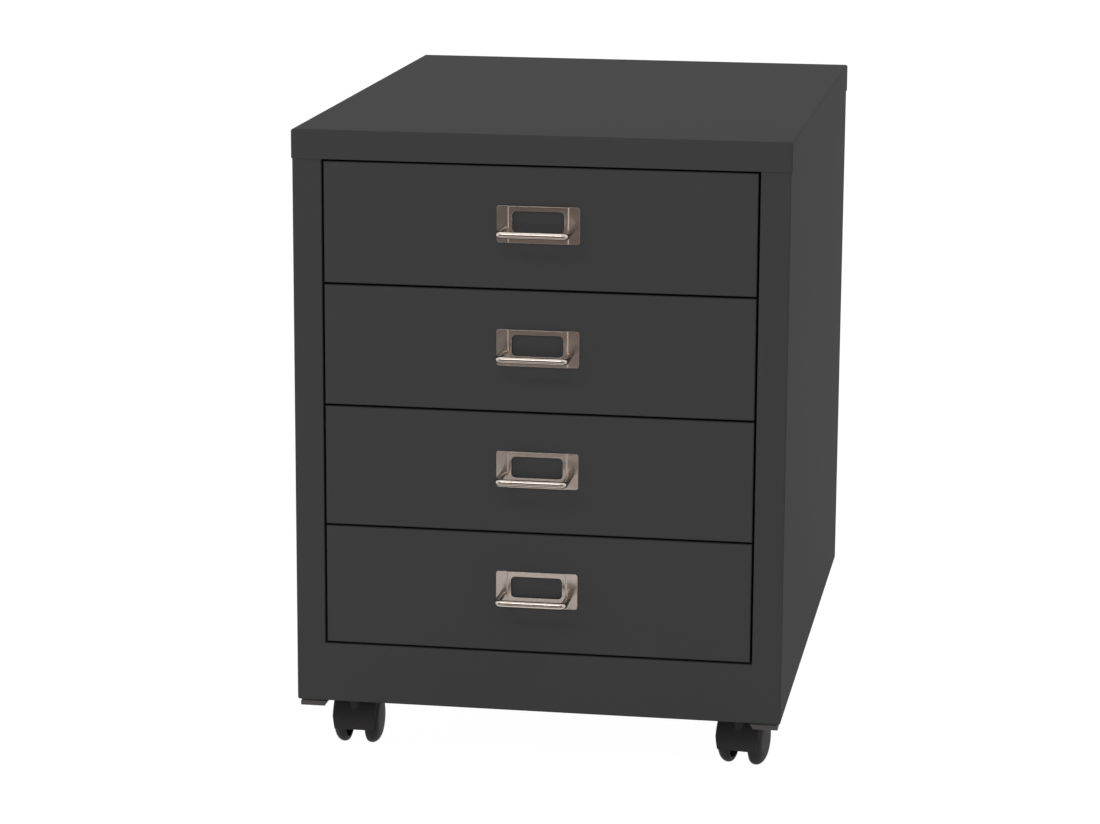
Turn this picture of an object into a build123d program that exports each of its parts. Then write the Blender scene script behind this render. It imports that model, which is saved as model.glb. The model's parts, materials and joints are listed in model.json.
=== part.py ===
from build123d import *
import os
from math import cos, radians, sin

os.makedirs("parts", exist_ok=True)

# ---------------------------------------------------------------------------
# Driving dimensions, in millimetres. X runs across the front, Y from front to
# back and Z up. The origin is on the floor, below the middle of the object.
# ---------------------------------------------------------------------------

# Cabinet body
width = 460.0              # body, side to side
depth = 620.0              # body, front to back
height = 545.0             # bottom edge of the body to the top of the cap
floor_gap = 62.0           # floor to the bottom edge of the body
sheet = 0.8                # sheet of the body, the cap and the drawers
fold_r = 2.0               # outside radius of the body's folds
stile = 27.5               # width of the frame at each side of the drawers
bottom_rail = 56.7         # height of the frame below the drawers
frame_return = 20.0        # how far the frame's inner edges turn back
frame_edge_r = 1.2         # outside radius of those turned edges
rim_flange = 20.0          # flange round the open bottom and the open back
top_flange = 15.0          # flange round the open top, under the cap

# Top cap
cap_lip = 27.0             # height of the cap's skirt
cap_gap = 0.1              # between the skirt and the body
cap_fold_r = 2.4           # outside radius of the cap's folds

# Back panel and its screws
panel_margin = 2.5         # panel edge to the inside of the body
screw_r = 2.0
screw_head_r = 4.0
screw_head = 2.2
screw_tail = 2.0           # shank that shows inside
screw_gap = 0.2            # round each shank

# Base panel and corner feet
base_sheet = 1.2
base_margin = 1.5          # base edge to the inside of the body
foot_size = 23.0           # each way, along the front and along the side
foot_height = 6.3          # below the body
foot_inset = 2.6           # from the body's outside
foot_slope = 4.0           # each end slopes back by this towards its bottom
foot_arm = 13.0            # width of each arm of the L
foot_peg_r = 2.5
foot_peg_gap = 0.2

# Drawers
drawer_count = 4
drawer_gap = 2.0           # round each drawer front
front_thickness = 16.0     # folded pan behind the drawer face
front_lip = 18.0           # lip that turns in behind the pan
front_edge_r = 1.6
tray_height = 88.0
tray_lift = 8.0            # bottom of the tray above the bottom of its front
tray_length = 560.0        # behind the pan
tray_edge_r = 1.6
tray_hem = 8.0             # safe edge, folded flat against the inside of the walls

# Telescopic runners, three channels one inside the other
runner_thickness = 12.7    # tray side to bracket
runner_length = 550.0
runner_height = 35.0       # cabinet channel
runner_sheet = 1.2
runner_race = 2.6          # height between two channels, where the balls run
race_width = 2.8           # groove rolled into a flange for the balls
race_depth = 0.4
outer_race = 7.6           # tray side to the balls between cabinet and middle channel
inner_race = 4.0           # tray side to the balls between middle and drawer channel
runner_web_gap = 0.5       # between two channels, side to side
runner_setback = 4.0       # front end of the runners behind the frame's return
runner_offset = 1.0        # bracket face outside the frame's edge
runner_lip_short = 1.6     # cabinet and middle channels stop short of the tray
bracket_width = 30.0
bracket_sheet = 1.2
bracket_foot = 10.0
bracket_setback = 14.0     # front face of the bracket behind the frame's return
bracket_clear = 12.0       # top and bottom of the bracket inside the body

# Label holder and its pull
holder_width = 77.0
holder_height = 34.2
holder_sheet = 0.8
holder_corner_r = 3.0
holder_rise = 3.5          # middle of the holder above the middle of the front
pocket_width = 56.0        # raised panel that takes the card
pocket_depth = 1.3
pocket_slope = 1.0
window_width = 48.0
window_height = 20.0
window_corner_r = 4.0
window_rise = 2.5          # middle of the window above the middle of the holder
pull_span = 62.5           # centre to centre of the legs
pull_reach = 37.0          # drawer face to the middle of the bar
pull_drop = 4.2            # pull below the middle of the holder
pull_rod_r = 3.1
pull_bend_r = 4.5          # to the middle of the rod
stud_r = 2.0
stud_gap = 0.2
stud_tail = 1.5            # thread that shows past the nut
nut_flats = 7.0
nut_height = 3.2
nut_gap = 0.05

# Twin-wheel casters
wheel_r = 25.0
wheel_inner_x = 9.2        # inner face of each wheel from the caster's middle
wheel_tread_x = 18.5       # end of the tread
wheel_outer_x = 22.0       # outside of the domed disc
wheel_dome_r = 14.0        # radius where the dome meets the flat centre
wheel_dome_rise = 1.6      # height of the dome's arc over its chord
wheel_edge = 1.8           # chamfer of the tread towards the caster's middle
wheel_bore_end = 19.0
axle_r = 3.0
axle_half = 18.5
running_gap = 0.05         # round a shaft that turns
web_half = 8.0             # half the thickness of the web between the wheels
hood_r = 28.2
hood_wall = 2.0
hood_half = 21.0           # half the width of the hood
hood_front_angle = 12.0    # front edge of the hood below the axle
hood_rear_angle = 18.0     # rear edge of the hood above the axle
hood_boss_r = 6.0
socket_r = 4.8
socket_bottom = 34.0       # above the floor
caster_trail = 19.0        # axle behind the kingpin
caster_inset_x = 44.0      # kingpin from the side of the body
caster_inset_y = 55.0      # kingpin from the front or back of the body
kingpin_r = 3.5
kingpin_length = 18.0
swivel_gap = 0.4           # between the hood and the collar above it
kingpin_end_gap = 0.6
collar_flats = 14.0
collar_height = 3.5
stem_r = 5.0
stem_gap = 0.3
stem_tail = 2.0
stem_nut_flats = 17.0
stem_nut_height = 8.0
doubler_size = 28.0
doubler_sheet = 2.5
front_right_turn = -9.5    # degrees that this caster stands turned

# ---------------------------------------------------------------------------
# Dimensions that follow from them
# ---------------------------------------------------------------------------
pull_front = pull_reach + pull_rod_r
cap_over = cap_gap + sheet
y_front = (pull_front - depth - max(cap_over, screw_head)) / 2
y_back = y_front + depth
y_mid = (y_front + y_back) / 2
z_body = floor_gap
z_top = floor_gap + height
z_wrap = z_top - sheet                     # top of the body, under the cap
wrap_height = z_wrap - z_body
inner_width = width - 2 * sheet

opening_width = width - 2 * stile
opening_bottom = z_body + bottom_rail
opening_top = z_top - cap_lip
opening_height = opening_top - opening_bottom
opening_mid = (opening_top + opening_bottom) / 2

front_width = opening_width - 2 * drawer_gap
front_height = (opening_height - (drawer_count + 1) * drawer_gap) / drawer_count
front_pitch = front_height + drawer_gap

bracket_x = opening_width / 2 + runner_offset
tray_width = 2 * (bracket_x - runner_thickness)
y_tray = y_front + front_thickness
y_runner = y_front + frame_return + runner_setback
y_bracket = y_front + frame_return + bracket_setback
z_base = z_body + sheet                    # underside of the base panel
z_caster = z_base - collar_height - swivel_gap

front_plane = Plane.XZ.offset(-y_front)
back_plane = Plane.XZ.offset(-y_back)


def save(piece, name):
    """Label a finished piece and write it under its name."""
    piece.part.label = name
    export_step(piece.part, f"parts/{name}.step")


def edges_near(part, axis, place, direction=None):
    """Edges whose middle lies at one place along an axis."""
    found = part.edges().filter_by_position(axis, place - 0.01, place + 0.01)
    return found.filter_by(direction) if direction else found


# ---------------------------------------------------------------------------
# Cabinet body: one sheet folded round the front and sides, welded corners
# ---------------------------------------------------------------------------
foot_corner = foot_inset + foot_arm / 2
back_screw_places = [
    (side * (width / 2 - rim_flange / 2), z_body + share * wrap_height)
    for side in (-1, 1)
    for share in (0.1, 0.5, 0.9)
]

with BuildPart() as wrap_inside:
    with BuildSketch(Plane.XY.offset(z_body + sheet)):
        with Locations((0, y_mid)):
            Rectangle(inner_width, depth - 2 * sheet)
    extrude(amount=wrap_height - 2 * sheet)
    fillet(wrap_inside.edges(), fold_r - sheet)

with BuildPart() as body_wrap:
    with BuildSketch(Plane.XY.offset(z_body)):
        with Locations((0, y_mid)):
            Rectangle(width, depth)
    extrude(amount=wrap_height)
    fillet(body_wrap.edges(), fold_r)
    add(wrap_inside.part, mode=Mode.SUBTRACT)
    # open bottom and open top, each with a flange left round it
    with BuildSketch(Plane.XY.offset(z_body)):
        with Locations((0, y_mid)):
            Rectangle(width - 2 * rim_flange, depth - 2 * rim_flange)
    extrude(amount=sheet, mode=Mode.SUBTRACT)
    with BuildSketch(Plane.XY.offset(z_wrap)):
        with Locations((0, y_mid)):
            Rectangle(width - 2 * top_flange, depth - 2 * top_flange)
    extrude(amount=-sheet, mode=Mode.SUBTRACT)
    # open back
    with BuildSketch(back_plane):
        with Locations((0, (z_body + z_wrap) / 2)):
            Rectangle(width - 2 * rim_flange, wrap_height - 2 * rim_flange)
    extrude(amount=sheet, mode=Mode.SUBTRACT)
    # drawer opening with its turned-back edges
    with BuildSketch(front_plane):
        with Locations((0, opening_mid)):
            Rectangle(opening_width + 2 * sheet, opening_height + 2 * sheet)
    extrude(amount=-frame_return)
    with BuildSketch(front_plane):
        with Locations((0, opening_mid)):
            Rectangle(opening_width, opening_height)
    extrude(amount=-frame_return, mode=Mode.SUBTRACT)
    frame_edges = edges_near(body_wrap, Axis.Y, y_front).filter_by(
        lambda e: abs(e.center().X) < opening_width / 2 + sheet
        and abs(e.center().Z - opening_mid) < opening_height / 2 + sheet
    )
    fillet(frame_edges, frame_edge_r)
    # holes for the feet's pegs and the back panel's screws
    with BuildSketch(Plane.XY.offset(z_body)):
        with Locations((0, y_mid)):
            with GridLocations(width - 2 * foot_corner, depth - 2 * foot_corner, 2, 2):
                Circle(foot_peg_r + foot_peg_gap)
    extrude(amount=sheet, mode=Mode.SUBTRACT)
    with BuildSketch(back_plane):
        with Locations(*back_screw_places):
            Circle(screw_r + screw_gap)
    extrude(amount=sheet, mode=Mode.SUBTRACT)
save(body_wrap, "body_wrap")

with BuildPart() as cap_inside:
    with BuildSketch(Plane.XY.offset(z_top - cap_lip)):
        with Locations((0, y_mid)):
            Rectangle(width + 2 * cap_gap, depth + 2 * cap_gap)
    extrude(amount=cap_lip - sheet)
    fillet(
        cap_inside.edges().filter_by(Axis.Z) + cap_inside.edges().group_by(Axis.Z)[-1],
        cap_fold_r - sheet,
    )

with BuildPart() as top_cap:
    with BuildSketch(Plane.XY.offset(z_top - cap_lip)):
        with Locations((0, y_mid)):
            Rectangle(width + 2 * cap_over, depth + 2 * cap_over)
    extrude(amount=cap_lip)
    fillet(top_cap.edges().filter_by(Axis.Z) + top_cap.edges().group_by(Axis.Z)[-1], cap_fold_r)
    add(cap_inside.part, mode=Mode.SUBTRACT)
save(top_cap, "top_cap")

with BuildPart() as back_panel:
    with BuildSketch(Plane.XZ.offset(-(y_back - sheet))):
        with Locations((0, (z_body + z_wrap) / 2)):
            Rectangle(inner_width - 2 * panel_margin, wrap_height - 2 * sheet - 2 * panel_margin)
        with Locations(*back_screw_places):
            Circle(screw_r + screw_gap, mode=Mode.SUBTRACT)
    extrude(amount=sheet)
save(back_panel, "back_panel")

with BuildPart() as back_screws:
    with BuildSketch(back_plane):
        with Locations(*back_screw_places):
            Circle(screw_head_r)
    extrude(amount=-screw_head)
    with BuildSketch(back_plane):
        with Locations(*back_screw_places):
            Circle(screw_r)
    extrude(amount=2 * sheet + screw_tail)
save(back_screws, "back_screws")

# ---------------------------------------------------------------------------
# Base panel, corner feet, and what the casters bolt to
# ---------------------------------------------------------------------------
caster_places = [
    (side * (width / 2 - caster_inset_x), y_mid + end * (depth / 2 - caster_inset_y))
    for end in (-1, 1)
    for side in (-1, 1)
]

with BuildPart() as base_panel:
    with BuildSketch(Plane.XY.offset(z_base)):
        with Locations((0, y_mid)):
            Rectangle(inner_width - 2 * base_margin, depth - 2 * sheet - 2 * base_margin)
        with Locations(*caster_places):
            Circle(stem_r + stem_gap, mode=Mode.SUBTRACT)
    extrude(amount=base_sheet)
save(base_panel, "base_panel")

with BuildPart() as corner_feet:
    for end in (-1, 1):
        for side in (-1, 1):
            corner = (
                side * (width / 2 - foot_inset),
                y_mid + end * (depth / 2 - foot_inset),
                z_body,
            )
            # one arm along the front or back, one along the side
            for along, depth_dir, turn in (
                ((-side, 0, 0), (0, side, 0), -1),
                ((0, -end, 0), (-end, 0, 0), 1),
            ):
                with BuildSketch(Plane(origin=corner, x_dir=along, z_dir=depth_dir)):
                    with BuildLine():
                        Polyline(
                            (0, 0),
                            (foot_size + foot_slope, 0),
                            (foot_size, -foot_height),
                            (0, -foot_height),
                            close=True,
                        )
                    make_face()
                extrude(amount=turn * side * end * foot_arm)
    with BuildSketch(Plane.XY.offset(z_body)):
        with Locations((0, y_mid)):
            with GridLocations(width - 2 * foot_corner, depth - 2 * foot_corner, 2, 2):
                Circle(foot_peg_r)
    extrude(amount=sheet)
save(corner_feet, "corner_feet")

with BuildPart() as caster_doublers:
    with BuildSketch(Plane.XY.offset(z_base + base_sheet)):
        with Locations(*caster_places):
            Rectangle(doubler_size, doubler_size)
            Circle(stem_r + stem_gap, mode=Mode.SUBTRACT)
    extrude(amount=doubler_sheet)
save(caster_doublers, "caster_doublers")

stem_top = base_sheet + doubler_sheet + stem_nut_height + stem_tail
with BuildPart() as caster_stems:
    with BuildSketch(Plane.XY.offset(z_base - collar_height)):
        with Locations(*caster_places):
            RegularPolygon(collar_flats / 2, 6, major_radius=False)
    extrude(amount=collar_height)
    with BuildSketch(Plane.XY.offset(z_base)):
        with Locations(*caster_places):
            Circle(stem_r)
    extrude(amount=stem_top)
    with BuildSketch(Plane.XY.offset(z_base - collar_height)):
        with Locations(*caster_places):
            Circle(kingpin_r)
    extrude(amount=-kingpin_length)
save(caster_stems, "caster_stems")

with BuildPart() as caster_nuts:
    with BuildSketch(Plane.XY.offset(z_base + base_sheet + doubler_sheet)):
        with Locations(*caster_places):
            RegularPolygon(stem_nut_flats / 2, 6, major_radius=False)
            Circle(stem_r + nut_gap, mode=Mode.SUBTRACT)
    extrude(amount=stem_nut_height)
save(caster_nuts, "caster_nuts")

# ---------------------------------------------------------------------------
# Runner brackets and the runners' cabinet channels
# ---------------------------------------------------------------------------
bracket_reach = inner_width / 2 - bracket_x          # side of the body to bracket face
bracket_rows = [
    y_bracket + bracket_width / 2,
    y_runner + runner_length - bracket_width / 2,
]
with BuildPart() as runner_brackets:
    with BuildSketch(Plane.XY.offset(z_base + base_sheet)):
        for side in (-1, 1):
            for row in bracket_rows:
                with Locations((side * (bracket_x + bracket_reach / 2), row)):
                    Rectangle(bracket_reach, bracket_width)
                with Locations((side * (inner_width / 2 - bracket_sheet / 2), row)):
                    Rectangle(bracket_sheet, bracket_width + 2 * bracket_foot)
                with Locations((side * (bracket_x + bracket_sheet + bracket_reach / 2), row)):
                    Rectangle(
                        bracket_reach,
                        bracket_width - 2 * bracket_sheet,
                        mode=Mode.SUBTRACT,
                    )
    extrude(amount=z_wrap - z_base - base_sheet - bracket_clear)
save(runner_brackets, "runner_brackets")

drawer_bottoms = [
    opening_top - drawer_gap - front_height - n * front_pitch for n in range(drawer_count)
]
runner_levels = [bottom + tray_lift + tray_height / 2 for bottom in drawer_bottoms]
runner_plane = Plane.XZ.offset(-y_runner)

# half heights and the inner and outer side of each channel, tray to bracket
cabinet_half = runner_height / 2
middle_half = cabinet_half - runner_sheet - runner_race
drawer_half = middle_half - runner_sheet - runner_race
middle_back = bracket_x - runner_sheet - runner_web_gap
drawer_back = middle_back - runner_sheet - runner_web_gap
tray_side = tray_width / 2
channel_mouth = tray_side + runner_lip_short


def channel_section(web, mouth, half, races):
    """Section of a right-hand channel: web, two flanges and the ball races in them.

    It is drawn about its level. Each race is given as its place and how far it bulges
    away from the level.
    """
    way = 1 if mouth > web else -1
    with BuildSketch() as section:
        with BuildLine():
            for start, flange in (
                (web, half),
                (web + way * runner_sheet, half - runner_sheet),
            ):
                last = (start, flange)
                Line((start, 0), last)
                for middle, bulge in races:
                    near = (middle - way * race_width / 2, flange)
                    past = (middle + way * race_width / 2, flange)
                    Line(last, near)
                    ThreePointArc(near, (middle, flange + bulge), past)
                    last = past
                Line(last, (mouth, flange))
            Line((web, 0), (web + way * runner_sheet, 0))
            Line((mouth, half), (mouth, half - runner_sheet))
        make_face()
        mirror(about=Plane.XZ)
    return section.sketch


cabinet_section = channel_section(
    bracket_x, channel_mouth, cabinet_half, [(tray_side + outer_race, race_depth)]
)
middle_section = channel_section(
    middle_back,
    channel_mouth,
    middle_half,
    [(tray_side + outer_race, -race_depth), (tray_side + inner_race, race_depth)],
)
drawer_section = channel_section(
    tray_side, drawer_back, drawer_half, [(tray_side + inner_race, -race_depth)]
)

with BuildPart() as cabinet_runners:
    with BuildSketch(runner_plane):
        with Locations(*[(0, level) for level in runner_levels]):
            add(cabinet_section)
        mirror(about=Plane.YZ)
    extrude(amount=-runner_length)
save(cabinet_runners, "cabinet_runners")

# ---------------------------------------------------------------------------
# Drawers, from the top one down
# ---------------------------------------------------------------------------
for number, bottom in enumerate(drawer_bottoms, start=1):
    name = f"drawer_{number}"
    z_middle = bottom + front_height / 2
    z_holder = z_middle + holder_rise
    z_tray = bottom + tray_lift
    level = z_tray + tray_height / 2
    z_pull = z_holder - pull_drop
    legs = [(side * pull_span / 2, z_pull) for side in (-1, 1)]

    # folded pan: face, four returns and a lip behind
    with BuildPart() as drawer_front:
        with BuildSketch(front_plane):
            with Locations((0, z_middle)):
                Rectangle(front_width, front_height)
        extrude(amount=-front_thickness)
        fillet(edges_near(drawer_front, Axis.Y, y_front), front_edge_r)
        with BuildSketch(front_plane.offset(-sheet)):
            with Locations((0, z_middle)):
                Rectangle(front_width - 2 * sheet, front_height - 2 * sheet)
        extrude(amount=-(front_thickness - 2 * sheet), mode=Mode.SUBTRACT)
        with BuildSketch(front_plane.offset(-front_thickness)):
            with Locations((0, z_middle)):
                Rectangle(front_width - 2 * front_lip, front_height - 2 * front_lip)
        extrude(amount=sheet, mode=Mode.SUBTRACT)
        with BuildSketch(front_plane):
            with Locations(*legs):
                Circle(stud_r + stud_gap)
        extrude(amount=-sheet, mode=Mode.SUBTRACT)
    save(drawer_front, f"{name}_front")

    # tray: open box, its top edge folded down inside as a safe edge
    with BuildPart() as tray:
        tray_middle = y_tray + tray_length / 2
        with BuildSketch(Plane.XY.offset(z_tray)):
            with Locations((0, tray_middle)):
                Rectangle(tray_width, tray_length)
        extrude(amount=tray_height)
        fillet(tray.edges().group_by(Axis.Z)[0], tray_edge_r)
        with BuildSketch(Plane.XY.offset(z_tray + sheet)):
            with Locations((0, tray_middle)):
                Rectangle(tray_width - 2 * sheet, tray_length - 2 * sheet)
        extrude(amount=tray_height - sheet - tray_hem, mode=Mode.SUBTRACT)
        with BuildSketch(Plane.XY.offset(z_tray + tray_height)):
            with Locations((0, tray_middle)):
                Rectangle(tray_width - 4 * sheet, tray_length - 4 * sheet)
        extrude(amount=-tray_hem, mode=Mode.SUBTRACT)
    save(tray, f"{name}_tray")

    # stamped holder: flat wings, raised middle that takes a card, window
    with BuildPart() as label_holder:
        wing = holder_width / 2
        edge = pocket_width / 2
        with BuildSketch(Plane.XY.offset(z_holder - holder_height / 2)):
            with BuildLine():
                Polyline(
                    (-wing, y_front),
                    (-wing, y_front - holder_sheet),
                    (-edge, y_front - holder_sheet),
                    (-edge + pocket_slope, y_front - holder_sheet - pocket_depth),
                    (edge - pocket_slope, y_front - holder_sheet - pocket_depth),
                    (edge, y_front - holder_sheet),
                    (wing, y_front - holder_sheet),
                    (wing, y_front),
                    (edge - holder_sheet, y_front),
                    (edge - holder_sheet - pocket_slope, y_front - pocket_depth),
                    (holder_sheet + pocket_slope - edge, y_front - pocket_depth),
                    (holder_sheet - edge, y_front),
                    close=True,
                )
            make_face()
        extrude(amount=holder_height)
        with BuildSketch(front_plane):
            with Locations((0, z_holder)):
                RectangleRounded(holder_width, holder_height, holder_corner_r)
        extrude(amount=holder_sheet + pocket_depth, mode=Mode.INTERSECT)
        with BuildSketch(front_plane):
            with Locations((0, z_holder + window_rise)):
                RectangleRounded(window_width, window_height, window_corner_r)
            with Locations(*legs):
                Circle(stud_r + stud_gap)
        extrude(amount=holder_sheet + pocket_depth, mode=Mode.SUBTRACT)
    save(label_holder, f"{name}_label_holder")

    # bent rod with a threaded stud at each end
    with BuildPart() as pull:
        y_root = y_front - holder_sheet
        half = pull_span / 2
        with BuildLine() as rod:
            FilletPolyline(
                (-half, y_root, z_pull),
                (-half, y_front - pull_reach, z_pull),
                (half, y_front - pull_reach, z_pull),
                (half, y_root, z_pull),
                radius=pull_bend_r,
            )
        with BuildSketch(Plane(origin=rod.line @ 0, z_dir=rod.line % 0)):
            Circle(pull_rod_r)
        sweep()
        with BuildSketch(Plane.XZ.offset(-y_root)):
            with Locations(*legs):
                Circle(stud_r)
        extrude(amount=-(holder_sheet + sheet + nut_height + stud_tail))
    save(pull, f"{name}_pull")

    with BuildPart() as pull_nuts:
        with BuildSketch(front_plane.offset(-sheet)):
            with Locations(*legs):
                RegularPolygon(nut_flats / 2, 6, major_radius=False)
                Circle(stud_r + nut_gap, mode=Mode.SUBTRACT)
        extrude(amount=-nut_height)
    save(pull_nuts, f"{name}_pull_nuts")

    # the runners' middle channels, open towards the tray
    with BuildPart() as middle_runners:
        with BuildSketch(runner_plane):
            with Locations((0, level)):
                add(middle_section)
            mirror(about=Plane.YZ)
        extrude(amount=-runner_length)
    save(middle_runners, f"{name}_middle_runners")

    # the runners' drawer channels, fixed flat to the tray, open outwards
    with BuildPart() as drawer_runners:
        with BuildSketch(runner_plane):
            with Locations((0, level)):
                add(drawer_section)
            mirror(about=Plane.YZ)
        extrude(amount=-runner_length)
    save(drawer_runners, f"{name}_runners")

# ---------------------------------------------------------------------------
# Casters
# ---------------------------------------------------------------------------
caster_names = ["front_left", "front_right", "rear_left", "rear_right"]
caster_turns = [0.0, radians(front_right_turn), 0.0, 0.0]
far = 2 * hood_r

for place, turn, name in zip(caster_places, caster_turns, caster_names):
    across = (cos(turn), sin(turn), 0)                 # along the axle
    behind = (-sin(turn), cos(turn), 0)                # kingpin to axle
    side_plane = Plane(origin=(place[0], place[1], 0), x_dir=behind, z_dir=across)
    axle_middle = side_plane.from_local_coords((caster_trail, wheel_r, 0))
    axle_axis = Axis(axle_middle, across)

    # hood: band over both treads, web between the wheels, socket for the kingpin
    with BuildPart() as hood:
        front_edge = radians(180 + hood_front_angle)
        rear_edge = radians(hood_rear_angle)
        for reach, bore in ((hood_half, hood_r - hood_wall), (web_half, 0)):
            with BuildSketch(side_plane):
                with Locations((caster_trail, wheel_r)):
                    Circle(hood_r)
                    if bore:
                        Circle(bore, mode=Mode.SUBTRACT)
                with BuildLine():
                    Polyline(
                        (caster_trail, wheel_r),
                        (
                            caster_trail + far * cos(front_edge),
                            wheel_r + far * sin(front_edge),
                        ),
                        (caster_trail - far, wheel_r - far),
                        (caster_trail + far, wheel_r - far),
                        (
                            caster_trail + far * cos(rear_edge),
                            wheel_r + far * sin(rear_edge),
                        ),
                        close=True,
                    )
                make_face(mode=Mode.SUBTRACT)
                if not bore:
                    with Locations((caster_trail, wheel_r)):
                        Circle(hood_boss_r)
            extrude(amount=reach, both=True)
        with BuildSketch(side_plane):
            with BuildLine():
                Polyline(
                    (0, z_caster),
                    (socket_r, z_caster),
                    (caster_trail, wheel_r + hood_r - hood_wall / 2),
                    (caster_trail, wheel_r + hood_r - hood_wall),
                    (0, socket_bottom),
                    close=True,
                )
            make_face()
        extrude(amount=socket_r, both=True)
        with BuildSketch(Plane.XY.offset(socket_bottom)):
            with Locations(place):
                Circle(socket_r)
        extrude(amount=z_caster - socket_bottom)
        with BuildSketch(Plane.XY.offset(z_caster)):
            with Locations(place):
                Circle(kingpin_r + running_gap)
        extrude(amount=-(kingpin_length - swivel_gap + kingpin_end_gap), mode=Mode.SUBTRACT)
        with BuildSketch(side_plane):
            with Locations((caster_trail, wheel_r)):
                Circle(axle_r)
        extrude(amount=web_half, both=True, mode=Mode.SUBTRACT)
    save(hood, f"{name}_caster_hood")

    with BuildPart() as axle:
        with BuildSketch(side_plane):
            with Locations((caster_trail, wheel_r)):
                Circle(axle_r)
        extrude(amount=axle_half, both=True)
    save(axle, f"{name}_caster_axle")

    for hand, sign in (("left", -1), ("right", 1)):
        wheel_plane = Plane(
            origin=axle_middle,
            x_dir=(sign * across[0], sign * across[1], 0),
            z_dir=(sign * across[1], -sign * across[0], 0),
        )
        with BuildPart() as wheel:
            with BuildSketch(wheel_plane):
                with BuildLine():
                    Polyline(
                        (wheel_outer_x, 0),
                        (wheel_bore_end, 0),
                        (wheel_bore_end, axle_r + running_gap),
                        (wheel_inner_x, axle_r + running_gap),
                        (wheel_inner_x, wheel_r - wheel_edge),
                        (wheel_inner_x + wheel_edge, wheel_r),
                        (wheel_tread_x, wheel_r),
                    )
                    SagittaArc(
                        (wheel_tread_x, wheel_r),
                        (wheel_outer_x, wheel_dome_r),
                        wheel_dome_rise,
                    )
                    Line((wheel_outer_x, wheel_dome_r), (wheel_outer_x, 0))
                make_face()
            revolve(axis=axle_axis)
        save(wheel, f"{name}_caster_{hand}_wheel")
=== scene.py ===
import json
import math

import bmesh
import bpy
from mathutils import Matrix, Vector


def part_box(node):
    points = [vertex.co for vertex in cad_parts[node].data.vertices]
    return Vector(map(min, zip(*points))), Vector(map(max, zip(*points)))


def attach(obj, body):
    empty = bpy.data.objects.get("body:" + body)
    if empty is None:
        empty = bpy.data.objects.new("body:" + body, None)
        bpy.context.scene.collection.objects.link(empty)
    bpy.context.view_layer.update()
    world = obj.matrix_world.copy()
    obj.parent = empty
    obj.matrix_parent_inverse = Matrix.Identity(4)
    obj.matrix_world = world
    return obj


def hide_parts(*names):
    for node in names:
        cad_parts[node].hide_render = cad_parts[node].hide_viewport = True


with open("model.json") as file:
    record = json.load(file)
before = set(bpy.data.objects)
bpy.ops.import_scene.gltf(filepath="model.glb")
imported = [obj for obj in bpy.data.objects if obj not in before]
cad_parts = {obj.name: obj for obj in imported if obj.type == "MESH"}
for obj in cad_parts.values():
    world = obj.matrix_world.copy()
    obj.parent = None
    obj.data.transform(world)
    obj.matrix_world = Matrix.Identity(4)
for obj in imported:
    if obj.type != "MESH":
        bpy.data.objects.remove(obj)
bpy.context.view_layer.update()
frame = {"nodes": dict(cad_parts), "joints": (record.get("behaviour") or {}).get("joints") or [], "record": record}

# ---------------------------------------------------------------------------
# Where things are, in metres, from the frame
# ---------------------------------------------------------------------------
MM = 0.001
nodes = frame["nodes"]
body_low, body_high = (Vector(corner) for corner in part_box("body_wrap"))
front_y = body_low.y
drawer_names = [f"drawer_{number}" for number in range(1, 5)]
caster_names = [f"{end}_{hand}" for end in ("front", "rear") for hand in ("left", "right")]
axle_low, axle_high = (Vector(corner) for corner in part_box("front_left_caster_axle"))
axle_radius = (axle_high.z - axle_low.z) / 2

# The camera stands to the right of the front, above the top
camera_place = Vector((0.5078, front_y - 3.0287, body_low.z + 0.9628))
camera_azimuth = 9.304
camera_elevation = 12.380
camera_roll = 0.311
camera_lens = 111.61        # millimetres, on a sensor 36 mm wide


# ---------------------------------------------------------------------------
# Shader arithmetic
# ---------------------------------------------------------------------------
class Value:
    """A node's socket, which takes part in ordinary arithmetic."""

    def __init__(self, finish, socket):
        self.finish = finish
        self.socket = socket

    def _maths(self, operation, first, second):
        return self.finish.node("ShaderNodeMath", {"operation": operation}, {0: first, 1: second})

    def __add__(self, other):
        return self._maths("ADD", self, other)

    __radd__ = __add__

    def __sub__(self, other):
        return self._maths("SUBTRACT", self, other)

    def __rsub__(self, other):
        return self._maths("SUBTRACT", other, self)

    def __mul__(self, other):
        return self._maths("MULTIPLY", self, other)

    __rmul__ = __mul__

    def __truediv__(self, other):
        return self._maths("DIVIDE", self, other)


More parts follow.
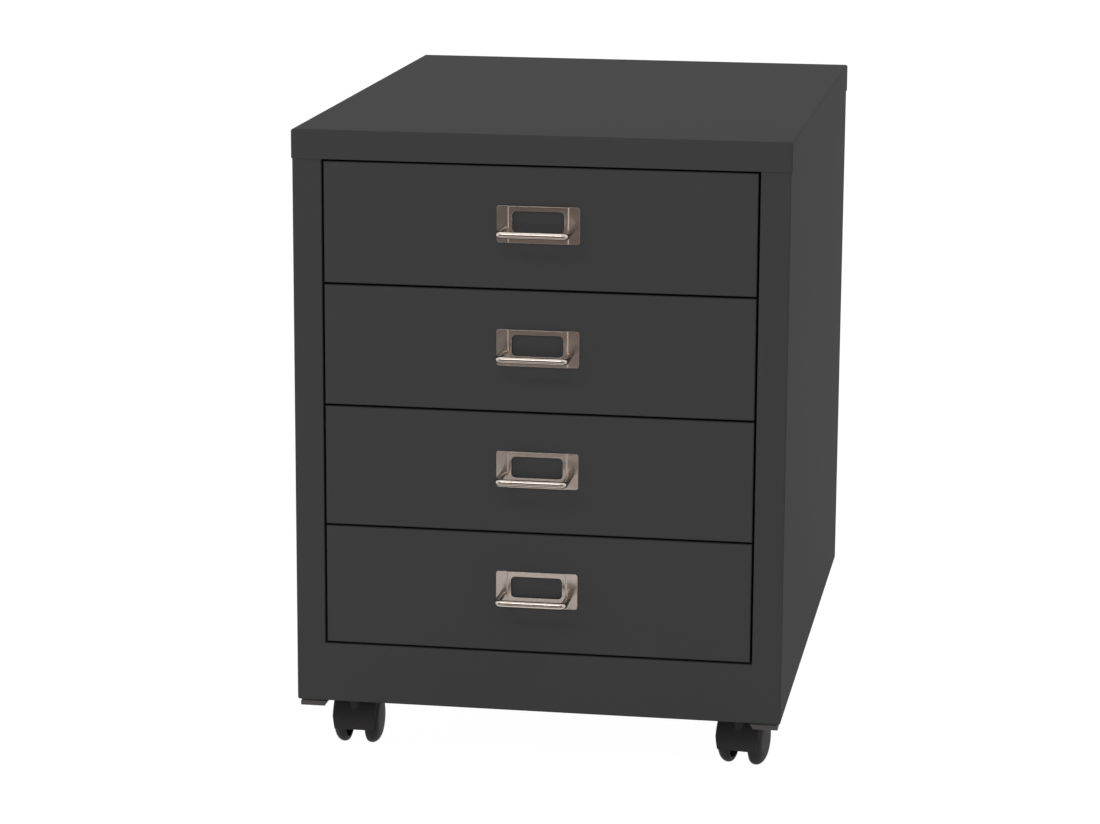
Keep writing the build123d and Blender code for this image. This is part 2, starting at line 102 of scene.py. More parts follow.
class Finish:
    """A material made of nodes, with the calls that build it."""

    def __init__(self, name):
        self.material = bpy.data.materials.new(name)
        self.material.use_nodes = True
        self.tree = self.material.node_tree
        self.surface = self.tree.nodes["Principled BSDF"]
        self.output = self.tree.nodes["Material Output"]
        self.place = self.node("ShaderNodeTexCoord", {}, {}, "Object")

    @classmethod
    def of_tree(cls, tree):
        """The same calls on a tree that is there already, such as the world's."""
        finish = cls.__new__(cls)
        finish.tree = tree
        return finish

    def node(self, kind, settings, sockets, output=0):
        """A node of one kind: its settings first, then its sockets' values or links."""
        made = self.tree.nodes.new(kind)
        for name, setting in settings.items():
            if name == "stops":
                self._ramp(made.color_ramp, setting)
            else:
                setattr(made, name, setting)
        for key, given in sockets.items():
            self.join(made.inputs[key], given)
        return Value(self, made.outputs[output])

    def _ramp(self, ramp, stops):
        for element, (position, colour) in zip(ramp.elements, stops[:2]):
            element.position, element.color = position, colour
        for position, colour in stops[2:]:
            ramp.elements.new(position).color = colour

    def join(self, socket, given):
        if isinstance(given, Value):
            self.tree.links.new(given.socket, socket)
        else:
            socket.default_value = given

    def set(self, **sockets):
        """Values or links for the surface, such as base_color or roughness."""
        for name, given in sockets.items():
            self.join(self.surface.inputs[name.replace("_", " ").title()], given)

    def noise(self, scale, detail, place=None):
        sockets = {"Vector": place or self.place, "Scale": scale, "Detail": detail}
        return self.node("ShaderNodeTexNoise", {}, sockets)

    def stretched(self, scale):
        """Object coordinates, stretched by a scale along each axis."""
        return self.node("ShaderNodeMapping", {}, {"Vector": self.place, "Scale": scale})

    def mix(self, factor, first, second):
        sockets = {0: factor, 6: first, 7: second}
        return self.node("ShaderNodeMix", {"data_type": "RGBA"}, sockets, 2)

    def axis(self, letter):
        return self.node("ShaderNodeSeparateXYZ", {}, {0: self.place}, letter)

    def bump(self, height, distance, strength):
        sockets = {"Height": height, "Distance": distance, "Strength": strength}
        return self.node("ShaderNodeBump", {}, sockets)


# ---------------------------------------------------------------------------
# Finishes; a noise scale of 420 makes marks about 2 mm across
# ---------------------------------------------------------------------------
def shaded(colour, share):
    """A colour times a share, with its alpha."""
    return tuple(channel * share for channel in colour) + (1.0,)


def powder_coat(name, colour, spread=0.08):
    """Matt powder coat: fine orange peel and faint cloudiness."""
    finish = Finish(name)
    cloud = finish.noise(5.0, 3.0)
    grain = finish.noise(1400.0, 1.0)
    peel = finish.noise(420.0, 2.0)
    shade = 1 - spread / 2 + cloud * spread
    finish.set(
        base_color=finish.mix(
            cloud * 0.7 + grain * 0.3, shaded(colour, 1 - spread), shaded(colour, 1 + spread)
        ),
        roughness=0.70 * shade + peel * 0.06,
        normal=finish.bump(peel * 0.7 + grain * 0.3, 0.05 * MM, 0.35),
    )
    finish.surface.inputs["Specular IOR Level"].default_value = 0.04
    return finish.material


def satin_nickel(name, base_roughness):
    """Nickel plate over brushed steel, brushed along X."""
    finish = Finish(name)
    lines = finish.noise(1.0, 2.0, finish.stretched((60.0, 2600.0, 2600.0)))
    tarnish = finish.noise(90.0, 3.0)
    finish.set(
        base_color=finish.mix(
            tarnish, (0.60, 0.525, 0.465, 1.0), (0.70, 0.635, 0.58, 1.0)
        ),
        roughness=base_roughness + lines * 0.05 + tarnish * 0.03,
        normal=finish.bump(lines, 0.01 * MM, 0.12),
    )
    finish.surface.inputs["Metallic"].default_value = 1.0
    return finish.material


def zinc_plate(name):
    """Bright zinc plate with a faint yellow and blue cast."""
    finish = Finish(name)
    cast = finish.noise(35.0, 3.0)
    spangle = finish.noise(300.0, 2.0)
    finish.set(
        base_color=finish.mix(cast, (0.42, 0.43, 0.45, 1.0), (0.53, 0.52, 0.48, 1.0)),
        roughness=0.26 + spangle * 0.16,
        normal=finish.bump(spangle, 0.02 * MM, 0.3),
    )
    finish.surface.inputs["Metallic"].default_value = 1.0
    return finish.material


def moulded_plastic(name, colour, base_roughness, gloss):
    """Injection-moulded plastic with a fine spark-eroded grain."""
    finish = Finish(name)
    grain = finish.noise(1800.0, 1.0)
    flow = finish.noise(45.0, 2.0)
    finish.set(
        base_color=finish.mix(
            flow * 0.6 + grain * 0.4, shaded(colour, 0.85), shaded(colour, 1.25)
        ),
        roughness=base_roughness + flow * 0.10,
        normal=finish.bump(grain, 0.03 * MM, 0.3),
    )
    finish.surface.inputs["Specular IOR Level"].default_value = gloss
    return finish.material


charcoal = powder_coat("charcoal_powder_coat", (0.052, 0.0512, 0.0514))
nickel_rod = satin_nickel("satin_nickel_rod", 0.12)
nickel_sheet = satin_nickel("satin_nickel_sheet", 0.21)
zinc = zinc_plate("bright_zinc_plate")
nylon = moulded_plastic("black_nylon", (0.0325, 0.0302, 0.0306), 0.50, 0.07)
grey_plastic = moulded_plastic("grey_plastic", (0.064, 0.061, 0.059), 0.46, 0.3)

finish_of_slot = {
    "charcoal_paint": charcoal,
    "satin_nickel": nickel_rod,
    "zinc_plate": zinc,
    "black_nylon": nylon,
    "grey_plastic": grey_plastic,
}
slot_of_node = {part["node"]: part["material_slot"] for part in frame["record"]["subparts"]}


def dress_frame():
    """Every piece carried over from the frame gets the finish of its slot."""
    for name, node in nodes.items():
        node.data.materials.clear()
        node.data.materials.append(finish_of_slot[slot_of_node[name]])


# ---------------------------------------------------------------------------
# Modelling
# ---------------------------------------------------------------------------
class Editing:
    """Edit mode on one piece, with its faces or points picked by place."""

    def __init__(self, piece):
        self.piece = piece

    def __enter__(self):
        bpy.context.view_layer.objects.active = self.piece
        bpy.ops.object.mode_set(mode="EDIT")
        return self

    def __exit__(self, *failure):
        bpy.ops.object.mode_set(mode="OBJECT")

    def pick(self, kind, test):
        """Select what passes a test of its middle and, for faces, its normal."""
        bpy.ops.mesh.select_mode(type=kind)
        bpy.ops.mesh.select_all(action="DESELECT")
        mesh = bmesh.from_edit_mesh(self.piece.data)
        if kind == "VERT":
            chosen = [point for point in mesh.verts if test(point.co)]
        else:
            chosen = [
                face for face in mesh.faces if test(face.calc_center_median(), face.normal)
            ]
        for part in chosen:
            part.select_set(True)
        mesh.select_flush_mode()
        bmesh.update_edit_mesh(self.piece.data)

    def pick_all(self):
        bpy.ops.mesh.select_all(action="SELECT")

    def move(self, step):
        bpy.ops.transform.translate(value=step)

    def extrude(self, step):
        bpy.ops.mesh.extrude_region_move(TRANSFORM_OT_translate={"value": step})

    def cut(self, place, normal):
        """Divide every face along a plane."""
        self.pick_all()
        bpy.ops.mesh.bisect(plane_co=place, plane_no=normal)

    def close_up(self):
        """Merge what lies together and turn every face outwards."""
        self.pick_all()
        bpy.ops.mesh.remove_doubles(threshold=0.001 * MM)
        bpy.ops.mesh.normals_make_consistent(inside=False)


def primitive(kind, name, size=(1.0, 1.0, 1.0), **settings):
    """A primitive alone in the selection, its size and place in its mesh."""
    bpy.ops.object.select_all(action="DESELECT")
    getattr(bpy.ops.mesh, f"primitive_{kind}_add")(**settings)
    piece = bpy.context.object
    piece.name = piece.data.name = name
    piece.scale = size
    bpy.ops.object.transform_apply(location=True, rotation=True, scale=True)
    return piece


def joined(piece, *others):
    """One piece made of several."""
    bpy.ops.object.select_all(action="DESELECT")
    for part in (piece, *others):
        part.select_set(True)
    bpy.context.view_layer.objects.active = piece
    bpy.ops.object.join()
    return piece


def modify(piece, kind, **settings):
    """Add one modifier and apply it."""
    modifier = piece.modifiers.new(kind.title(), kind)
    for name, setting in settings.items():
        setattr(modifier, name, setting)
    bpy.context.view_layer.objects.active = piece
    bpy.ops.object.modifier_apply(modifier=modifier.name)


def soften(piece, width, segments=2, angle=40.0, smooth=35.0):
    """Round every sharp edge, then shade the piece smooth between its edges."""
    if width:
        modify(
            piece, "BEVEL", width=width, segments=segments, limit_method="ANGLE",
            angle_limit=math.radians(angle), harden_normals=False,
        )
    bpy.ops.object.select_all(action="DESELECT")
    piece.select_set(True)
    bpy.context.view_layer.objects.active = piece
    bpy.ops.object.shade_smooth_by_angle(angle=math.radians(smooth))


def copy_of(piece, name, placing):
    """Another of the same piece, with its own mesh, moved or turned there."""
    twin = piece.copy()
    twin.data = piece.data.copy()
    twin.name = twin.data.name = name
    bpy.context.scene.collection.objects.link(twin)
    twin.data.transform(placing)
    if placing.determinant() < 0:
        twin.data.flip_normals()
    return twin


def keep(piece, body, slot, *replaced, finish=None):
    """Give a piece its finish and its body, and hide the nodes it stands for."""
    modify(piece, "WEIGHTED_NORMAL", keep_sharp=True)
    piece.data.materials.clear()
    piece.data.materials.append(finish or finish_of_slot[slot])
    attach(piece, body)
    if replaced:
        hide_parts(*replaced)


def arc(middle, radius, start, end, steps):
    """Points along an arc, in degrees, in the plane of a profile."""
    turns = [math.radians(start + (end - start) * step / steps) for step in range(steps + 1)]
    return [
        (middle[0] + radius * math.cos(turn), middle[1] + radius * math.sin(turn))
        for turn in turns
    ]


def dome_arc(start, end, rise, steps):
    """Points of the arc that stands a rise above the chord from start to end."""
    chord = Vector(end) - Vector(start)
    radius = chord.length ** 2 / (8 * rise) + rise / 2
    outward = Vector((-chord.y, chord.x)).normalized()
    middle = (Vector(start) + Vector(end)) / 2 - outward * (radius - rise)
    first, last = Vector(start) - middle, Vector(end) - middle
    first_turn = math.degrees(math.atan2(first.y, first.x))
    last_turn = math.degrees(math.atan2(last.y, last.x))
    return arc(middle, radius, first_turn, last_turn, steps)


def oval(middle, reach, start, end, steps):
    """Points along an ellipse, in degrees; reach is its two half widths."""
    return [
        (middle[0] + reach[0] * along, middle[1] + reach[1] * away)
        for along, away in arc((0.0, 0.0), 1.0, start, end, steps)
    ]


def chain(edit, points):
    """From one point, a chain of edges through the rest."""
    bpy.ops.mesh.select_mode(type="VERT")
    edit.pick_all()
    bpy.ops.mesh.merge(type="CENTER")
    for last, point in zip(points, points[1:]):
        edit.extrude(point - last)


def turned(name, profile, steps):
    """A piece turned about X: its profile is (along X, away from X) points in order."""
    points = [Vector((along, 0.0, away)) for along, away in profile]
    piece = primitive("plane", name, size=(MM, MM, MM), location=points[0])
    with Editing(piece) as edit:
        chain(edit, points)
        edit.pick_all()
        bpy.ops.mesh.spin(steps=steps, angle=2 * math.pi, center=(0, 0, 0), axis=(1, 0, 0))
        edit.close_up()
    return piece


def slab(name, outline, half):
    """A piece drawn in the YZ plane and extruded to each side of it."""
    points = [Vector((-half, across, up)) for across, up in outline]
    piece = primitive("plane", name, size=(MM, MM, MM), location=points[0])
    with Editing(piece) as edit:
        chain(edit, points)
        edit.pick_all()
        bpy.ops.mesh.edge_face_add()
        edit.extrude((2 * half, 0.0, 0.0))
        edit.close_up()
    return piece


# ---------------------------------------------------------------------------
# Label holders: a stamped plate with a rounded window and a raised card pocket
# ---------------------------------------------------------------------------
plate_thickness = 0.8 * MM
plate_corner = 2.6 * MM
pocket_side = (28.3 * MM, 26.6 * MM)    # where each side of the pocket rises
pocket_steps = 6
window_size = (48.0 * MM, 20.0 * MM)
window_rise = 2.5 * MM
window_corner = 4.0 * MM
plate_corner_steps = 6
plate_edge = 0.34 * MM
tolerance = 0.01 * MM


def upright_outline(name, size, corner, middle):
    """The edges alone of a rectangle in the XZ plane, with rounded corners."""
    card = primitive(
        "plane", name, size=(size[0] / 2, size[1] / 2, 1.0),
        rotation=(math.pi / 2, 0.0, 0.0), location=middle,
    )
    with Editing(card) as edit:
        edit.pick_all()
        bpy.ops.mesh.bevel(
            offset=corner, offset_type="OFFSET", segments=plate_corner_steps, affect="VERTICES"
        )
        edit.pick("FACE", lambda place, normal: True)
        bpy.ops.mesh.delete(type="ONLY_FACE")
    return card


def raise_pocket(edit, middle_x, depth):
    """Bring the middle of the plate forward, in a smooth rise at each side."""
    risen = 0.0
    for share in (step / pocket_steps for step in range(pocket_steps + 1)):
        reach = pocket_side[0] + (pocket_side[1] - pocket_side[0]) * share
        for side in (-1, 1):
            edit.cut((middle_x + side * reach, 0.0, 0.0), (1.0, 0.0, 0.0))
        rise = depth * share * share * (3 - 2 * share)
        edit.pick("VERT", lambda place: abs(place.x - middle_x) < reach + tolerance)
        edit.move((0.0, risen - rise, 0.0))
        risen = rise


def make_label_holder(name, low, high):
    middle = (low + high) / 2
    back = Vector((middle.x, high.y, middle.z))
    plate = upright_outline(name, (high.x - low.x, high.z - low.z), plate_corner, back)
    window = upright_outline(
        "window", window_size, window_corner, back + Vector((0.0, 0.0, window_rise))
    )
    joined(plate, window)
    with Editing(plate) as edit:
        bpy.ops.mesh.select_mode(type="EDGE")
        edit.pick_all()
        bpy.ops.mesh.bridge_edge_loops()
        raise_pocket(edit, middle.x, high.y - low.y - plate_thickness)
        edit.pick_all()
        bpy.ops.mesh.normals_make_consistent(inside=False)
        mesh = bmesh.from_edit_mesh(plate.data)
        if sum(face.normal.y for face in mesh.faces) > 0:
            bpy.ops.mesh.flip_normals()
    modify(plate, "SOLIDIFY", thickness=plate_thickness, offset=1.0, use_even_offset=True)
    soften(plate, plate_edge, 3, 50.0)
    return plate


# ---------------------------------------------------------------------------
# Pulls: a bent rod, with a threaded stud through the drawer front at each end
# ---------------------------------------------------------------------------
rod_sides = 32
bend_steps = 8
pull_bend = 4.5 * MM
stud_radius = 2.0 * MM


def make_pull(name, low, high):
    rod_radius = (high.z - low.z) / 2
    half = (high.x - low.x) / 2 - rod_radius
    root = front_y - plate_thickness
    bar = low.y + rod_radius
    level = (low.z + high.z) / 2
    corners = (
        (-half, root, level), (-half, bar, level), (half, bar, level), (half, root, level)
    )
    route = [Vector(corner) for corner in corners]
    heading = (route[1] - route[0]).normalized()
    rod = primitive(
        "circle", name, vertices=rod_sides, radius=rod_radius, fill_type="NGON",
        location=route[0], rotation=heading.to_track_quat("Z", "Y").to_euler(),
    )
    with Editing(rod) as edit:
        bpy.ops.mesh.select_mode(type="FACE")
        edit.pick_all()
        place = route[0]
        for corner, after in zip(route[1:-1], route[2:]):
            onward = (after - corner).normalized()
            bend_start = corner - heading * pull_bend
            edit.extrude(bend_start - place)
            axis = heading.cross(onward).normalized()
            bpy.ops.mesh.spin(
                steps=bend_steps, angle=-heading.angle(onward),
                center=bend_start + axis.cross(heading) * pull_bend, axis=axis,
            )
            place, heading = corner + onward * pull_bend, onward
        edit.extrude(route[-1] - place)
        edit.close_up()
        edit.pick("FACE", lambda place, normal: normal.y > 0.9 and place.y > root - tolerance)
        bpy.ops.mesh.inset(thickness=rod_radius - stud_radius, use_individual=True)
        edit.extrude((0.0, high.y - root, 0.0))
    soften(rod, 0.0)
    return rod


# ---------------------------------------------------------------------------
# Caster wheels and hoods, modelled about the axle with X along it
# ---------------------------------------------------------------------------
wheel_steps = 72
wheel_crest = 13.6 * MM        # middle of the crowned tread, from the caster's middle
wheel_face = 22.3 * MM         # outside of the domed disc
wheel_face_radius = 14.0 * MM  # the disc is nearly flat inside this
wheel_shoulder = 3.0 * MM      # drop of the tread towards the caster's middle
wheel_wall = 3.0 * MM          # disc left beyond the end of the bore
bore_clearance = 0.05 * MM
disc_rise = 0.25 * MM
disc_ring = 0.55               # share of the disc's radius where most of its rise is done
hub_radius = 6.5 * MM
hub_taper = 0.6 * MM
hub_edge = 0.4 * MM
rim_depth = 4.5 * MM
rim_taper = 1.6 * MM
hollow_depth = 5.0 * MM
tread_steps = (8, 14)          # of the tread's inner and outer quarters


def make_wheel(inner, radius):
    """One wheel: its profile runs from the bore, over rim and tread, to the domed disc."""
    bore = axle_radius + bore_clearance
    bore_end = wheel_face - wheel_wall
    hollow = inner + hollow_depth
    profile = [
        (bore_end, 0.0), (bore_end, bore), (inner, bore),
        (inner, hub_radius - hub_edge), (inner + hub_edge, hub_radius),
        (hollow, hub_radius + hub_taper), (hollow, radius - rim_depth - rim_taper),
        (inner + hub_edge, radius - rim_depth),
    ]
    inner_middle = (wheel_crest, radius - wheel_shoulder)
    inner_reach = (wheel_crest - inner, wheel_shoulder)
    outer_middle = (wheel_crest, wheel_face_radius)
    outer_reach = (wheel_face - disc_rise - wheel_crest, radius - wheel_face_radius)
    profile += oval(inner_middle, inner_reach, 180, 90, tread_steps[0])
    profile += oval(outer_middle, outer_reach, 90, 0, tread_steps[1])[1:]
    profile += [
        (wheel_face - disc_rise * 0.3, wheel_face_radius * disc_ring),
        (wheel_face, 0.0),
    ]
    wheel = turned("caster_wheel", profile, wheel_steps)
    soften(wheel, 0.0, smooth=28.0)
    return wheel


hood_wall = 2.0 * MM
hood_front = 192.0             # degrees round the axle, from behind it over the top
hood_rear = 18.0
hood_web = 8.0 * MM            # half the thickness of the web between the wheels
hood_steps = 40
hub_steps = 12
band_edge = 0.5 * MM
web_edge = 0.3 * MM
boss_radius = 5.6 * MM
boss_sides = 40
boss_edge = 0.5 * MM
fairing_edge = 0.8 * MM
socket_low = 9.0 * MM          # lower end of the boss, above the axle
draw_arc = 26.0                # degrees over which the hood's ends draw in
draw_steps = 6
draw_share = 0.985             # width left by each step


def turn_behind(place):
    """Degrees round the axle, from behind it over the top."""
    return (math.degrees(math.atan2(place.z, place.y)) + 90.0) % 360.0 - 90.0


def make_hood(radius, half, top, trail):
    """Band over both treads, web between the wheels and boss round the kingpin."""
    outer = arc((0.0, 0.0), radius, hood_front, hood_rear, hood_steps)
    inner = arc((0.0, 0.0), radius - hood_wall, hood_rear, hood_front, hood_steps)
    band = slab("hood_band", outer + inner, half)
    with Editing(band) as edit:
        for end, way in ((hood_front, 1), (hood_rear, -1)):
            for step in range(draw_steps):
                limit = end - way * draw_arc * (1 - step / draw_steps)
                edit.pick("VERT", lambda place: way * (turn_behind(place) - limit) > 0)
                bpy.ops.transform.resize(value=(draw_share, 1.0, 1.0))
    soften(band, band_edge, 3)
    filler = arc((0.0, 0.0), radius - hood_wall / 2, hood_front, hood_rear, hood_steps)
    hub = arc((0.0, 0.0), hub_radius, hood_rear, hood_front - 360.0, hub_steps)
    web = slab("hood_web", filler + hub, hood_web)
    soften(web, web_edge, 2)
    boss_height = top - socket_low
    boss = primitive(
        "cylinder", "hood_boss", vertices=boss_sides, radius=boss_radius, depth=boss_height,
        location=(0.0, -trail, socket_low + boss_height / 2),
    )
    soften(boss, boss_edge, 3)
    fairing_outline = [
        (-trail, top), (-trail, socket_low),
        (0.0, radius - hood_wall), (0.0, radius - hood_wall / 2),
    ]
    fairing = slab("hood_fairing", fairing_outline, boss_radius)
    soften(fairing, fairing_edge, 3)
    return joined(band, web, boss, fairing)


# ---------------------------------------------------------------------------
# Corner feet: an L of two tapered arms with a shadow gap under the body
# ---------------------------------------------------------------------------
foot_arm_width = 13.0 * MM
foot_bottom_length = 23.0 * MM
foot_slope = 4.0 * MM
shadow_gap = 1.5 * MM
shadow_depth = 1.8 * MM
foot_edge = 0.35 * MM


def make_foot(height):
    """The foot of the front left corner, its outer corner and top at the origin."""
    side = foot_arm_width
    foot = primitive(
        "cube", "corner_foot", size=(side / 2, side / 2, height / 2),
        location=(side / 2, side / 2, -height / 2),
    )
    reach = foot_bottom_length + foot_slope - side
    with Editing(foot) as edit:
        for step in (Vector((1, 0, 0)), Vector((0, 1, 0))):
            edit.pick(
                "FACE",
                lambda place, normal: normal.dot(step) > 0.9 and place.dot(step) > side * 0.9,
            )
            edit.extrude(step * reach)
            edit.pick(
                "VERT",
                lambda place: place.dot(step) > side * 1.5 and place.z < -height / 2,
            )
            edit.move(-step * foot_slope)
        edit.cut((0.0, 0.0, -shadow_gap), (0.0, 0.0, 1.0))
        edit.pick("FACE", lambda place, normal: place.z > -shadow_gap and abs(normal.z) < 0.7)
        bpy.ops.mesh.extrude_region_shrink_fatten(
            TRANSFORM_OT_shrink_fatten={"value": -shadow_depth}
        )
        edit.close_up()
    soften(foot, foot_edge, 2)
    return foot


# ---------------------------------------------------------------------------
# Back screws: pan heads with a cross recess
# ---------------------------------------------------------------------------
screw_steps = 32
screw_head_radius = 4.0 * MM
screw_shank_radius = 2.0 * MM
crown_rise = 0.35 * MM
recess_radius = (0.7 * MM, 2.3 * MM)
recess_fall = (0.02 * MM, 0.12 * MM)    # of the crown at those radii
recess_depth = 1.1 * MM
recess_arm = math.pi / screw_steps * 2.2    # half the angle of each arm


def make_screw(head_height, length):
    """A screw along X: its head stands out to +X and its shank goes to -X."""
    brim = (0.3 * head_height, screw_head_radius)
    crown = dome_arc(brim, (head_height, 0.0), crown_rise, 6)
    profile = [
        (-length, 0.0), (-length, screw_shank_radius), (0.0, screw_shank_radius),
        (0.0, screw_head_radius), *crown[:3],
        (head_height - recess_fall[1], recess_radius[1]),
        (head_height - recess_fall[0], recess_radius[0]),
        (head_height, 0.0),
    ]
    screw = turned("pan_screw", profile, screw_steps)

    def in_cross(place, normal):
        away = math.hypot(place.y, place.z)
        turn = math.atan2(place.z, place.y) % (math.pi / 2)
        near_arm = min(turn, math.pi / 2 - turn) < recess_arm
        return place.x > head_height * 0.6 and away < recess_radius[1] and (
            near_arm or away < recess_radius[0]
        )

    with Editing(screw) as edit:
        edit.pick("FACE", in_cross)
        edit.extrude((-recess_depth, 0.0, 0.0))
    soften(screw, 0.0)
    return screw


# ---------------------------------------------------------------------------
# Putting the pieces in their places
# ---------------------------------------------------------------------------
def dress_drawers():
    """A label holder and a pull on each drawer, copied from those of the first."""
    for kind, make, finish in (
        ("label_holder", make_label_holder, nickel_sheet), ("pull", make_pull, nickel_rod)
    ):
        first_low, first_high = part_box(f"drawer_1_{kind}")
        pattern = make(f"{kind}_pattern", first_low, first_high)
        for drawer in drawer_names:
            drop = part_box(f"{drawer}_{kind}")[0].z - first_low.z
            piece = copy_of(pattern, f"{drawer}_{kind}_piece", Matrix.Translation((0, 0, drop)))
            keep(piece, drawer, "satin_nickel", f"{drawer}_{kind}", finish=finish)
        bpy.data.objects.remove(pattern)


def dress_casters():
    """A hood and two wheels at each caster, turned as the frame's axle is."""
    joints = {joint["name"]: joint for joint in frame["joints"]}
    axle_place = Vector(joints["front_left_left_wheel_spin"]["pos_m"])
    kingpin = Vector(joints["front_left_caster_swivel"]["pos_m"])
    wheel_low, wheel_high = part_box("front_left_caster_left_wheel")
    hood_low, hood_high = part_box("front_left_caster_hood")
    wheel_pattern = make_wheel(axle_place.x - wheel_high.x, wheel_high.z - axle_place.z)
    hood_pattern = make_hood(
        axle_place.y - hood_low.y, (hood_high.x - hood_low.x) / 2,
        hood_high.z - axle_place.z, axle_place.y - kingpin.y,
    )
    for caster in caster_names:
        joint = joints[f"{caster}_left_wheel_spin"]
        turn = math.atan2(joint["axis"][1], joint["axis"][0])
        placing = Matrix.Translation(joint["pos_m"]) @ Matrix.Rotation(turn, 4, "Z")
        hood = copy_of(hood_pattern, f"{caster}_hood_piece", placing)
        keep(hood, f"{caster}_caster", "black_nylon", f"{caster}_caster_hood")
        for hand, half_turn in (("left", math.pi), ("right", 0.0)):
            wheel = copy_of(
                wheel_pattern, f"{caster}_{hand}_wheel_piece",
                placing @ Matrix.Rotation(half_turn, 4, "Z"),
            )
            keep(wheel, f"{caster}_{hand}_wheel", "black_nylon", f"{caster}_caster_{hand}_wheel")
    bpy.data.objects.remove(wheel_pattern)
    bpy.data.objects.remove(hood_pattern)


def dress_feet():
    """Four feet, each a mirrored copy of the front left one."""
    low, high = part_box("corner_feet")
    pattern = make_foot(body_low.z - low.z)
    feet = []
    for end, y, inward in (("front", low.y, 1), ("rear", high.y, -1)):
        for hand, x, across in (("left", low.x, 1), ("right", high.x, -1)):
            mirrored = Matrix.Diagonal((across, inward, 1, 1))
            placing = Matrix.Translation((x, y, body_low.z)) @ mirrored
            feet.append(copy_of(pattern, f"corner_foot_{end}_{hand}", placing))
    for foot in feet:
        keep(foot, "cabinet", "grey_plastic")
    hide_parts("corner_feet")
    bpy.data.objects.remove(pattern)


def dress_back():
    """Three screws up each side of the back, their recesses at different turns."""
    low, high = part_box("back_screws")
    pattern = make_screw(high.y - body_high.y, body_high.y - low.y)
    facing_back = Matrix.Rotation(math.pi / 2, 4, "Z")
    screws = []
    inset = screw_head_radius
    heights = [low.z + inset, (low.z + high.z) / 2, high.z - inset]
    for column, x, first_turn in (("left", low.x + inset, 0.0), ("right", high.x - inset, 40.0)):
        for row, z in enumerate(heights, start=1):
            twist = Matrix.Rotation(math.radians(first_turn + 23.0 * row), 4, "X")
            placing = Matrix.Translation((x, body_high.y, z)) @ facing_back @ twist
            screws.append(copy_of(pattern, f"back_screw_{column}_{row}", placing))
    for screw in screws:
        keep(screw, "cabinet", "zinc_plate")
    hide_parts("back_screws")
    bpy.data.objects.remove(pattern)


# ---------------------------------------------------------------------------
# Studio: a white floor and room, soft lamps, and cards that only reflections show
# ---------------------------------------------------------------------------
white = (1.0, 1.0, 1.0, 1.0)
paper_grey = (0.86, 0.86, 0.86, 1.0)    # what the lamps light, and so keeps the shadow
paper_white = 0.93                      # share of the floor that stays white in the shadow
paper_glow = 1.06
floor_half_width = 30.0
room_light = 0.62
floor_card_near = 0.004                 # the cards' places are in front of the cabinet
floor_card_far = 6.0
floor_card_height = 0.0005
floor_card_stops = [                    # metres in front of the cabinet, and colour
    (0.00, (0.95, 0.94, 0.92)), (0.14, (0.80, 0.78, 0.76)), (0.24, (0.11, 0.10, 0.095)),
    (0.44, (0.11, 0.10, 0.095)), (0.55, (0.86, 0.835, 0.83)), (0.98, (0.84, 0.815, 0.81)),
    (1.24, (0.18, 0.148, 0.136)), (6.00, (0.14, 0.114, 0.105)),
]
wall_card_place = 3.7
wall_card_height = 2.8
wall_card_colour = (0.115, 0.10, 0.092, 1.0)
card_width = 9.0


def ray_is(finish, *kinds):
    """1 for the kinds of ray named, 0 for the rest."""
    rays = [finish.node("ShaderNodeLightPath", {}, {}, f"Is {kind} Ray") for kind in kinds]
    total = rays[0]
    for ray in rays[1:]:
        total = total + ray
    return total


def mixed(finish, factor, first, second):
    return finish.node("ShaderNodeMixShader", {}, {0: factor, 1: first, 2: second})


def paper_finish():
    """White paper that keeps a trace of the object's shadow."""
    finish = Finish("studio_paper")
    finish.tree.nodes.remove(finish.surface)
    paper = finish.node("ShaderNodeBsdfDiffuse", {}, {"Color": paper_grey})
    glow = finish.node("ShaderNodeEmission", {}, {"Color": white, "Strength": paper_glow})
    seen = ray_is(finish, "Camera", "Glossy", "Transmission") * paper_white
    finish.join(finish.output.inputs["Surface"], mixed(finish, seen, paper, glow))
    return finish.material


def make_floor():
    floor = primitive("plane", "studio_floor", size=(floor_half_width, floor_half_width, 1.0))
    floor.data.materials.append(paper_finish())


def wall_card_shade(finish):
    return wall_card_colour


def floor_card_shade(finish):
    """Light close to the cabinet and further out, dark between and beyond."""
    away = (front_y - finish.axis("Y")) / floor_card_far
    stops = [(place / floor_card_far, colour + (1.0,)) for place, colour in floor_card_stops]
    return finish.node("ShaderNodeValToRGB", {"stops": stops}, {0: away})


def add_card(name, size, middle, tilt, shade):
    """A card in front of the cabinet that only reflections show."""
    finish = Finish(name)
    finish.tree.nodes.remove(finish.surface)
    glow = finish.node("ShaderNodeEmission", {}, {"Color": shade(finish), "Strength": 1.0})
    finish.join(finish.output.inputs["Surface"], glow)
    card = primitive(
        "plane", name, size=(size[0] / 2, size[1] / 2, 1.0), rotation=(tilt, 0.0, 0.0),
        location=middle,
    )
    card.data.materials.append(finish.material)
    card.visible_camera = card.visible_diffuse = card.visible_shadow = False
    card.visible_transmission = False


def make_cards():
    floor_card_middle = (floor_card_near + floor_card_far) / 2
    add_card(
        "floor_card", (card_width, floor_card_far - floor_card_near),
        (0.0, front_y - floor_card_middle, floor_card_height), 0.0, floor_card_shade,
    )
    add_card(
        "wall_card", (card_width, wall_card_height),
        (0.0, front_y - wall_card_place, wall_card_height / 2), math.pi / 2, wall_card_shade,
    )


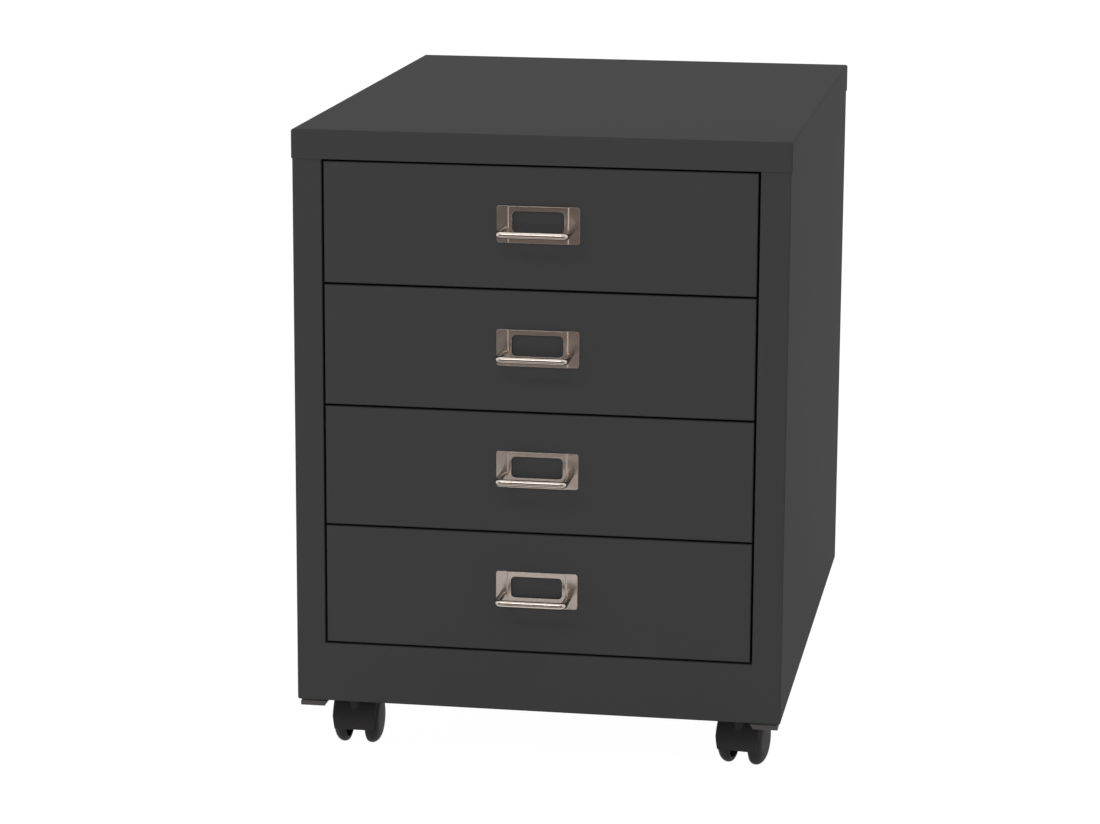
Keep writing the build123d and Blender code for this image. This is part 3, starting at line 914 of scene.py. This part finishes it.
def make_world():
    """White for the camera and in reflections; a softer light on everything else."""
    world = bpy.data.worlds.new("studio")
    bpy.context.scene.world = world
    world.use_nodes = True
    finish = Finish.of_tree(world.node_tree)

    def sky(strength):
        return finish.node("ShaderNodeBackground", {}, {"Color": white, "Strength": strength})

    seen = ray_is(finish, "Camera", "Glossy", "Transmission")
    surface = world.node_tree.nodes["World Output"].inputs["Surface"]
    finish.join(surface, mixed(finish, seen, sky(room_light), sky(1.0)))


def add_lamp(name, place, target, size, power, mirrored=True):
    """A soft rectangular lamp; one that isn't mirrored leaves no highlight."""
    light = bpy.data.lights.new(name, "AREA")
    light.shape, light.size, light.size_y = "RECTANGLE", size[0], size[1]
    light.energy = power
    lamp = bpy.data.objects.new(name, light)
    bpy.context.scene.collection.objects.link(lamp)
    lamp.location = place
    lamp.rotation_mode = "QUATERNION"
    lamp.rotation_quaternion = (Vector(target) - Vector(place)).to_track_quat("-Z", "Y")
    lamp.visible_camera = False
    lamp.visible_glossy = mirrored


def make_lamps():
    middle = (0.0, 0.0, 0.35)
    add_lamp("overhead_lamp", (-0.7, 0.1, 2.6), (0.0, 0.0, 0.6), (1.3, 1.3), 3.0)
    add_lamp("front_lamp", (-0.6, -3.6, 2.75), middle, (2.6, 0.5), 22.0)
    add_lamp("low_lamp", (-0.6, -3.4, 0.35), (0.0, 0.0, 0.05), (2.4, 0.6), 14.0, mirrored=False)
    add_lamp("back_lamp", (0.5, 3.7, 1.3), middle, (2.4, 1.2), 30.0, mirrored=False)
    add_lamp("left_lamp", (-3.6, 0.3, 1.3), middle, (2.0, 1.2), 22.0, mirrored=False)


def make_camera():
    azimuth, elevation, roll = (
        math.radians(angle) for angle in (camera_azimuth, camera_elevation, camera_roll)
    )
    level_back = Vector((math.sin(azimuth), -math.cos(azimuth), 0.0))
    back = level_back * math.cos(elevation) + Vector((0.0, 0.0, math.sin(elevation)))
    camera = bpy.data.objects.new("camera", bpy.data.cameras.new("camera"))
    bpy.context.scene.collection.objects.link(camera)
    camera.data.lens = camera_lens
    camera.data.sensor_width = 36.0
    camera.data.clip_start, camera.data.clip_end = 0.1, 100.0
    camera.location = camera_place
    camera.rotation_mode = "QUATERNION"
    level = (-back).to_track_quat("-Z", "Y").to_matrix().to_4x4()
    camera.rotation_quaternion = (Matrix.Rotation(roll, 4, back) @ level).to_quaternion()
    bpy.context.scene.camera = camera


bpy.context.scene.view_settings.view_transform = "Standard"
make_camera()
make_world()
make_lamps()
make_floor()
make_cards()
dress_frame()
dress_drawers()
dress_casters()
dress_feet()
dress_back()
